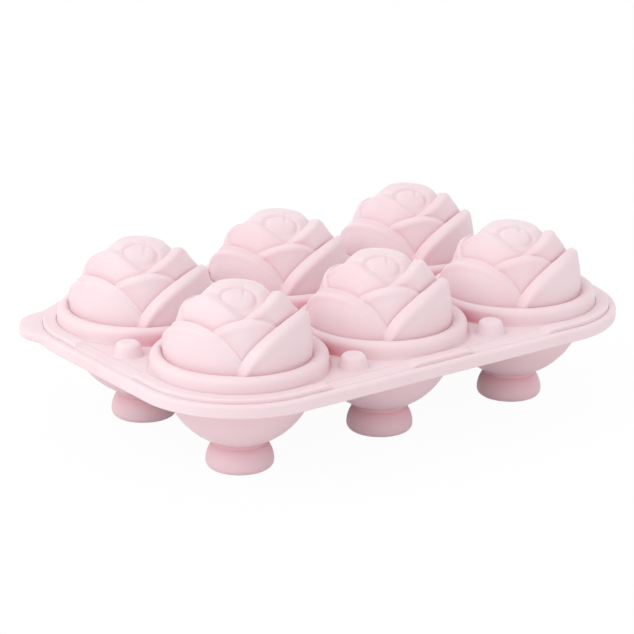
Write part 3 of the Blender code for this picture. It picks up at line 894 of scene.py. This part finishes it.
class MOULD_OT_add_pegs(bpy.types.Operator):
    """Adds the six locating pegs"""

    bl_idname = "mould.add_pegs"
    bl_label = "Locating pegs"

    def execute(self, context):
        parting = BASE_LOW.z + context.scene.mould.flange.base_plate
        profile = peg_profile(context.scene.mould.peg, parting, PEG_HIGH.z)
        for number in NUMBERS:
            node = f"locating_peg_{number}"
            points = turned(profile, PEG_COLUMNS, middle(node))
            add_piece(f"peg_skin_{number}", [skin(points)], BASE_HALF, [node])
        return {"FINISHED"}


class MOULD_OT_set_stage(bpy.types.Operator):
    """Sets the floor, the light and the camera"""

    bl_idname = "mould.set_stage"
    bl_label = "Stage"

    def execute(self, context):
        look = context.scene.mould.stage
        context.scene.view_settings.view_transform = "Standard"
        add_floor(look)
        add_light(look)
        add_camera(look)
        return {"FINISHED"}


def white_to_eye(tree):
    """Socket that is 1 for rays that the camera sees straight, mirrored or through glass, and 0 for light."""
    path = add_node(tree, "ShaderNodeLightPath")
    mirrored = add_node(
        tree,
        "ShaderNodeMath",
        {"operation": "MAXIMUM"},
        {0: path.outputs["Is Camera Ray"], 1: path.outputs["Is Glossy Ray"]},
    )
    seen = add_node(
        tree,
        "ShaderNodeMath",
        {"operation": "MAXIMUM"},
        {0: mirrored.outputs[0], 1: path.outputs["Is Transmission Ray"]},
    )
    return seen.outputs[0]


def white_paper(look):
    """Matt white paper: no sheen, and mostly plain white to the eye, so that only part of a shadow shows."""
    material = bpy.data.materials.new("Matt white paper")
    material.use_nodes = True
    tree = material.node_tree
    tree.nodes.clear()
    paper = add_node(
        tree,
        "ShaderNodeBsdfPrincipled",
        {"Base Color": (*look.floor, 1), "Roughness": 0.9, "Specular IOR Level": 0.0},
    )
    white = add_node(tree, "ShaderNodeEmission", {"Strength": 1.0})
    part = add_node(
        tree, "ShaderNodeMath", {"operation": "MULTIPLY", 1: look.floor_glow}, {0: white_to_eye(tree)}
    )
    mix = add_node(
        tree,
        "ShaderNodeMixShader",
        links={0: part.outputs[0], 1: paper.outputs["BSDF"], 2: white.outputs["Emission"]},
    )
    add_node(tree, "ShaderNodeOutputMaterial", links={"Surface": mix.outputs["Shader"]})
    return material


def add_floor(look):
    """Level sheet under the mould: four corners on the plane that its funnels stand on."""
    corner = np.array([-FLOOR_HALF, FLOOR_HALF])
    x, y = np.meshgrid(corner, corner)
    points = np.stack([x, y, 0 * x], axis=-1).reshape(-1, 3)
    mesh = bpy.data.meshes.new("floor")
    mesh.from_pydata(points.tolist(), [], [(0, 1, 3, 2)])
    mesh.materials.append(white_paper(look))
    floor = bpy.data.objects.new("floor", mesh)
    bpy.context.scene.collection.objects.link(floor)


def add_light(look):
    """Even light from all round, and one large lamp from the upper left."""
    world = bpy.data.worlds.new("Studio")
    bpy.context.scene.world = world
    world.use_nodes = True
    tree = world.node_tree
    tree.nodes.clear()
    around = add_node(tree, "ShaderNodeBackground", {"Color": (1, 1, 1, 1), "Strength": look.ambient})
    white = add_node(tree, "ShaderNodeBackground", {"Color": (1, 1, 1, 1), "Strength": 1.0})
    mix = add_node(
        tree,
        "ShaderNodeMixShader",
        links={0: white_to_eye(tree), 1: around.outputs["Background"], 2: white.outputs["Background"]},
    )
    add_node(tree, "ShaderNodeOutputWorld", links={"Surface": mix.outputs["Shader"]})
    lamp = bpy.data.lights.new("key", "AREA")
    lamp.energy = look.key
    lamp.size = KEY_SIZE
    key = bpy.data.objects.new("key", lamp)
    key.location = KEY_PLACE
    key.rotation_euler = (-key.location).to_track_quat("-Z", "Y").to_euler()
    bpy.context.scene.collection.objects.link(key)


def add_camera(look):
    """Camera on a sphere about the point that it looks at, rolled about its own line of sight."""
    level = math.cos(look.elevation)
    back = Vector((math.sin(look.azimuth) * level, -math.cos(look.azimuth) * level, math.sin(look.elevation)))
    data = bpy.data.cameras.new("camera")
    data.lens = look.lens
    data.clip_start = CLIP_START
    camera = bpy.data.objects.new("camera", data)
    camera.location = Vector(look.aim) + back * look.distance
    camera.rotation_mode = "QUATERNION"
    camera.rotation_quaternion = Quaternion(back, look.roll) @ (-back).to_track_quat("-Z", "Y")
    bpy.context.scene.collection.objects.link(camera)
    bpy.context.scene.camera = camera


class MOULD_PT_panel(bpy.types.Panel):
    """Lists the pieces of the mould and their settings"""

    bl_idname = "MOULD_PT_panel"
    bl_label = "Silicone rose mould"
    bl_space_type = "VIEW_3D"
    bl_region_type = "UI"
    bl_category = "Mould"

    def draw(self, context):
        for name in MouldSettings.__annotations__:
            box = self.layout.box()
            group = getattr(context.scene.mould, name)
            for prop in type(group).__annotations__:
                box.prop(group, prop)
        for operator in OPERATORS:
            self.layout.operator(operator.bl_idname)


OPERATORS = (
    MOULD_OT_set_stage,
    MOULD_OT_add_base_flange,
    MOULD_OT_add_cups,
    MOULD_OT_add_pegs,
    MOULD_OT_add_rose_flange,
    MOULD_OT_add_sockets,
    MOULD_OT_add_roses,
)
GROUPS = (RoseSizes, CupSizes, FlangeSizes, PegSizes, SiliconeLook, StageLook, MouldSettings)


def register():
    """Registers the settings, the operators and the panel."""
    for kind in GROUPS + OPERATORS + (MOULD_PT_panel,):
        bpy.utils.register_class(kind)
    bpy.types.Scene.mould = PointerProperty(type=MouldSettings)


def unregister():
    """Takes the panel, the operators and the settings out again."""
    del bpy.types.Scene.mould
    for kind in reversed(GROUPS + OPERATORS + (MOULD_PT_panel,)):
        bpy.utils.unregister_class(kind)


def main():
    """Builds the stage and all pieces."""
    register()
    bpy.ops.mould.set_stage()
    bpy.ops.mould.add_base_flange()
    bpy.ops.mould.add_cups()
    bpy.ops.mould.add_pegs()
    bpy.ops.mould.add_rose_flange()
    bpy.ops.mould.add_sockets()
    bpy.ops.mould.add_roses()


if __name__ == "__main__":
    main()
